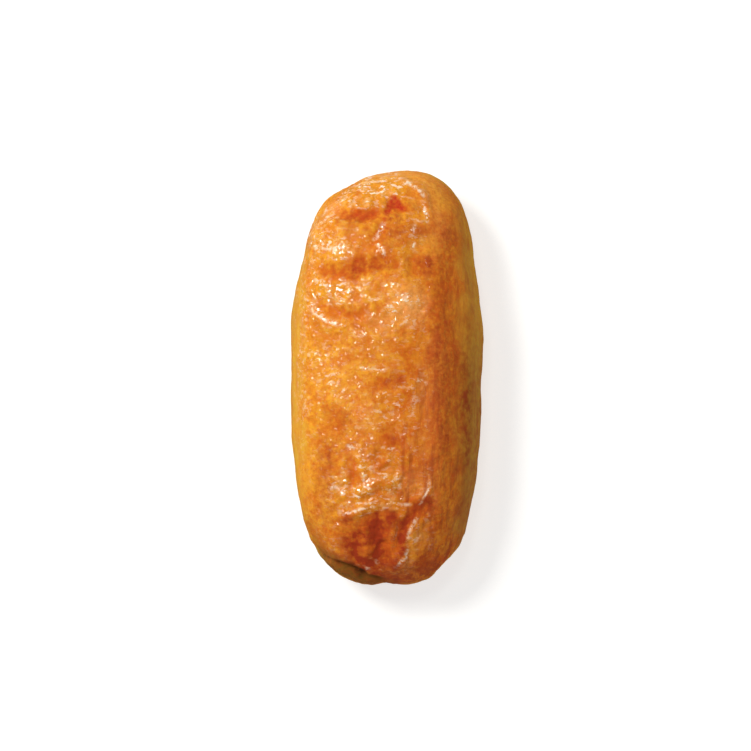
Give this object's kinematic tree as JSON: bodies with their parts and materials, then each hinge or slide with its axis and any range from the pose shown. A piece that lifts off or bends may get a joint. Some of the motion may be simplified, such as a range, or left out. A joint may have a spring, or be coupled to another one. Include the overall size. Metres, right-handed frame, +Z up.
{
  "type": "inari sushi",
  "caption": "Bale-shaped pouch of simmered fried tofu filled with sushi rice, its mouth folded under so that it lies flat on a plate.",
  "frame": {"origin": "middle of the flat underside that the piece rests on, at the bottom centre of its bounding box", "axes": "+Z up; +Y along the length towards the closed end of the pouch, so the folded mouth is at -Y; +X across the width"},
  "size_m": [0.0372, 0.08, 0.0273],
  "materials": {
    "tofu_skin": "soft wrinkled skin, moist satin with small wet glints"
  },
  "bodies": {
    "root": {"tofu_pouch": "tofu_skin"}
  },
  "joints": []
}
